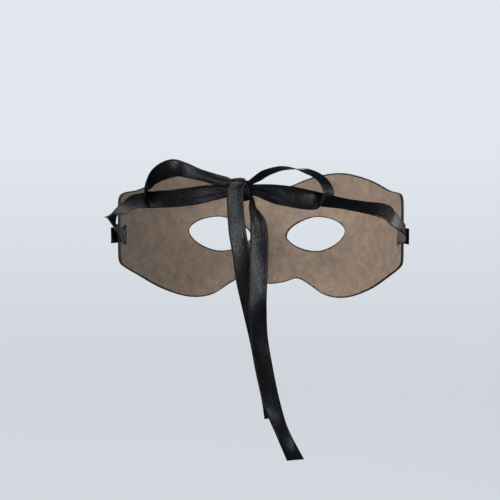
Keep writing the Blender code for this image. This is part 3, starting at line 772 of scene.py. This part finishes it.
def tail_rows(drop, drift, rows):
    """A tail's course from its place on the knot's outer face."""
    face = KNOT_MIDDLE.y + 0.5 * KNOT_DEPTH + GAP + 0.5 * SOLID_WALL
    course_rows = []
    for down, aside, stand, lean, turn, width, pleat in rows:
        place = Vector((-aside * drift, face + stand * TAIL_STAND, BOW_RISE - down * drop))
        across = band_width(Vector((1, 0, 0)), BACK, lean, turn, width * RIBBON_WIDTH)
        course_rows.append(station(place, across, pleat))
    return course_rows


OVER_KNOT_ASIDE = 0.14 * KNOT_WIDTH
OVER_KNOT = [
    # depth from the knot's middle to its outer face, height from its middle to its top, width, pleat
    (-0.86, -0.25, 0.60, 0.6),
    (-0.90, 0.20, 0.62, 0.5),
    (-0.76, 0.68, 0.66, 0.4),
    (-0.42, 0.93, 0.70, 0.1),
    (0.00, 1.00, 0.74, 0.0),
    (0.42, 0.99, 0.78, 0.0),
    (0.78, 0.90, 0.86, 0.0),
    (0.97, 0.60, 0.93, 0.0),
]
OVER_KNOT_CURL = [
    # share of the tail's length, how far its middle stands proud
    (0, -0.0009),
    (0.09, -0.0008),
    (0.14, -0.0002),
    (0.25, -0.0003),
    (0.40, -0.0006),
    (0.60, -0.0003),
    (1, 0.0002),
]
BELOW_KNOT_CURL = [
    # share of the tail's length, how far its middle stands proud
    (0, 0),
    (0.10, -0.0002),
    (0.22, -0.0004),
    (0.38, -0.0006),
    (0.6, -0.0002),
    (1, 0.0003),
]
lift = 0.5 * SOLID_WALL + GAP
knot_top = 0.5 * KNOT_HEIGHT + lift
knot_back = 0.5 * KNOT_DEPTH + lift
over_rows = []
for back, up, width, pleat in OVER_KNOT:
    place = Vector((OVER_KNOT_ASIDE, KNOT_MIDDLE.y + back * knot_back, BOW_RISE))
    place.z += up * (KNOT_MIDDLE.z + knot_top - BOW_RISE)
    over_rows.append(station(place, Vector((width * RIBBON_WIDTH, 0, 0)), pleat))
lay_ribbon(
    "tail_over_knot",
    over_rows + tail_rows(TAIL_LEFT_DROP, TAIL_LEFT_DRIFT, TAIL_LEFT),
    "tail_left",
    19.6,
    OVER_KNOT_CURL,
)
BELOW_KNOT_BACK = 0.001
BELOW_KNOT_DROP = 0.30 * KNOT_HEIGHT
BELOW_KNOT_RISE = 0.001
BELOW_KNOT_WIDTH = 0.38 * RIBBON_WIDTH
BELOW_KNOT_SLANT = 0.12 * RIBBON_WIDTH
tail_root = Vector((-ROOT, KNOT_MIDDLE.y + BELOW_KNOT_BACK, BOW_RISE - BELOW_KNOT_DROP))
tail_start = tail_root + Vector(((1 - GRIP_SHARE) * ROOT, 0, BELOW_KNOT_RISE))
under_rows = [
    station(tail_start, Vector((0, BELOW_KNOT_WIDTH, 0)), 0.8),
    station(tail_root, Vector((BELOW_KNOT_SLANT, BELOW_KNOT_WIDTH, 0)), 0.8),
]
lay_ribbon(
    "tail_below_knot",
    under_rows + tail_rows(TAIL_RIGHT_DROP, TAIL_RIGHT_DRIFT, TAIL_RIGHT),
    "tail_right",
    23.3,
    BELOW_KNOT_CURL,
)

# The knot. A turn of the same ribbon drawn tight round the middle of the bow, so that it bulges
# into a short roll with lengthwise creases and is pinched in at both sides.
KNOT_PINCH = 0.34
KNOT_COURSE_SHARE = 0.7
KNOT_CREASES = [
    # place across the knot, size of its section there
    (-0.42, 0.97),
    (-0.3, 0.9),
    (-0.16, 1.0),
    (0.0, 0.92),
    (0.15, 1.0),
    (0.3, 0.9),
    (0.42, 0.97),
]

bpy.ops.object.select_all(action="DESELECT")
bpy.ops.mesh.primitive_cylinder_add(
    vertices=40, radius=0.5, depth=1, end_fill_type="NGON", location=(0, 0, 0)
)
knot = bpy.context.object
knot.name = "bow_wrap"
bpy.ops.transform.rotate(value=math.radians(90), orient_axis="Y", center_override=(0, 0, 0))
bpy.ops.transform.resize(value=(KNOT_WIDTH, KNOT_DEPTH, KNOT_HEIGHT), center_override=(0, 0, 0))
bpy.ops.object.transform_apply(location=False, rotation=True, scale=True)
bpy.ops.object.mode_set(mode="EDIT")
for across, size in KNOT_CREASES:
    bpy.ops.mesh.select_all(action="SELECT")
    bpy.ops.mesh.bisect(plane_co=(across * KNOT_WIDTH, 0, 0), plane_no=(1, 0, 0))
    bpy.ops.transform.resize(value=(1, size, size), center_override=(0, 0, 0))
bpy.ops.object.mode_set(mode="OBJECT")
crown = knot.modifiers.new("crown", "SUBSURF")
crown.levels = crown.render_levels = 2
bpy.ops.object.modifier_apply(modifier=crown.name)
for vertex in knot.data.vertices:
    pinch = 1 - KNOT_PINCH * (abs(vertex.co.x) / (0.5 * KNOT_WIDTH)) ** 3
    vertex.co.y *= pinch
    vertex.co.z *= pinch
    vertex.co += KNOT_MIDDLE
course_map = knot.data.uv_layers.new(name="along_across")
for loop in knot.data.loops:
    co = knot.data.vertices[loop.vertex_index].co - KNOT_MIDDLE
    round_knot = math.atan2(co.z, co.y) * 0.5 * KNOT_HEIGHT
    course_map.data[loop.index].uv = (round_knot, co.x * KNOT_COURSE_SHARE)
knot.data.materials.append(satin)
bpy.ops.object.shade_smooth()
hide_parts("bow_knot")
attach(knot, "root")
